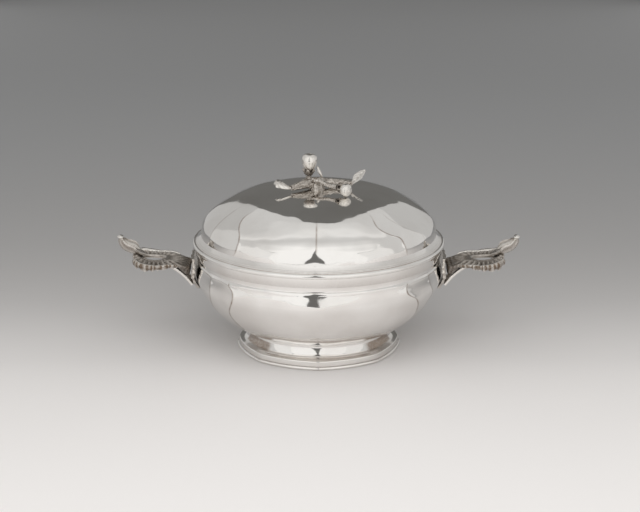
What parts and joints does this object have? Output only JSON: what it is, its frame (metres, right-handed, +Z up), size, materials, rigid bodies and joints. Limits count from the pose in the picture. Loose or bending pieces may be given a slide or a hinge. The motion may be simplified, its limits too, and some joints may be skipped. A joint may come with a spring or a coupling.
{
  "type": "covered ecuelle",
  "caption": "Covered silver soup bowl with lobed sides on a spreading foot, scrolled ear handles and a domed lift-off lid with a twig and bud finial.",
  "frame": {"origin": "middle of the plane that the foot rests on", "axes": "+X along the two handles, -Y towards the front, +Z up"},
  "size_m": [0.2872, 0.179, 0.1418],
  "materials": {
    "polished_silver": "raised silver, burnished to a soft mirror with fine wear and handling scratches",
    "cast_silver": "cast silver, polished on its high parts and greyer in its hollows",
    "chased_silver": "chased and matted silver with dark tarnish left in the ground"
  },
  "bodies": {
    "bowl": {"bowl_body": "polished_silver", "bowl_rim_band": "polished_silver", "foot_base_wire": "polished_silver", "foot_collar_wire": "polished_silver", "foot_ring": "polished_silver", "left_handle_back_border": "cast_silver", "left_handle_ear": "chased_silver", "left_handle_front_border": "cast_silver", "left_handle_root_leaf": "chased_silver", "left_handle_strap": "cast_silver", "left_handle_tip_leaf": "cast_silver", "right_handle_back_border": "cast_silver", "right_handle_ear": "chased_silver", "right_handle_front_border": "cast_silver", "right_handle_root_leaf": "chased_silver", "right_handle_strap": "cast_silver", "right_handle_tip_leaf": "cast_silver"},
    "lid": {"finial_boss": "cast_silver", "finial_branch": "chased_silver", "finial_bud": "cast_silver", "finial_bud_calyx": "chased_silver", "finial_left_leaf": "cast_silver", "finial_nut": "polished_silver", "finial_right_leaf": "cast_silver", "finial_side_bud": "cast_silver", "finial_side_bud_calyx": "chased_silver", "finial_stalk": "chased_silver", "finial_stud": "polished_silver", "finial_tendril": "cast_silver", "finial_twig": "chased_silver", "finial_washer": "polished_silver", "lid_bezel": "polished_silver", "lid_dome": "polished_silver", "lid_flange": "polished_silver", "lid_flange_wire": "polished_silver"}
  },
  "joints": [
    {"name": "lid_lift", "type": "slide", "parent": "bowl", "child": "lid", "axis": [0, 0, 1], "range_m": [0, 0.12]}
  ]
}
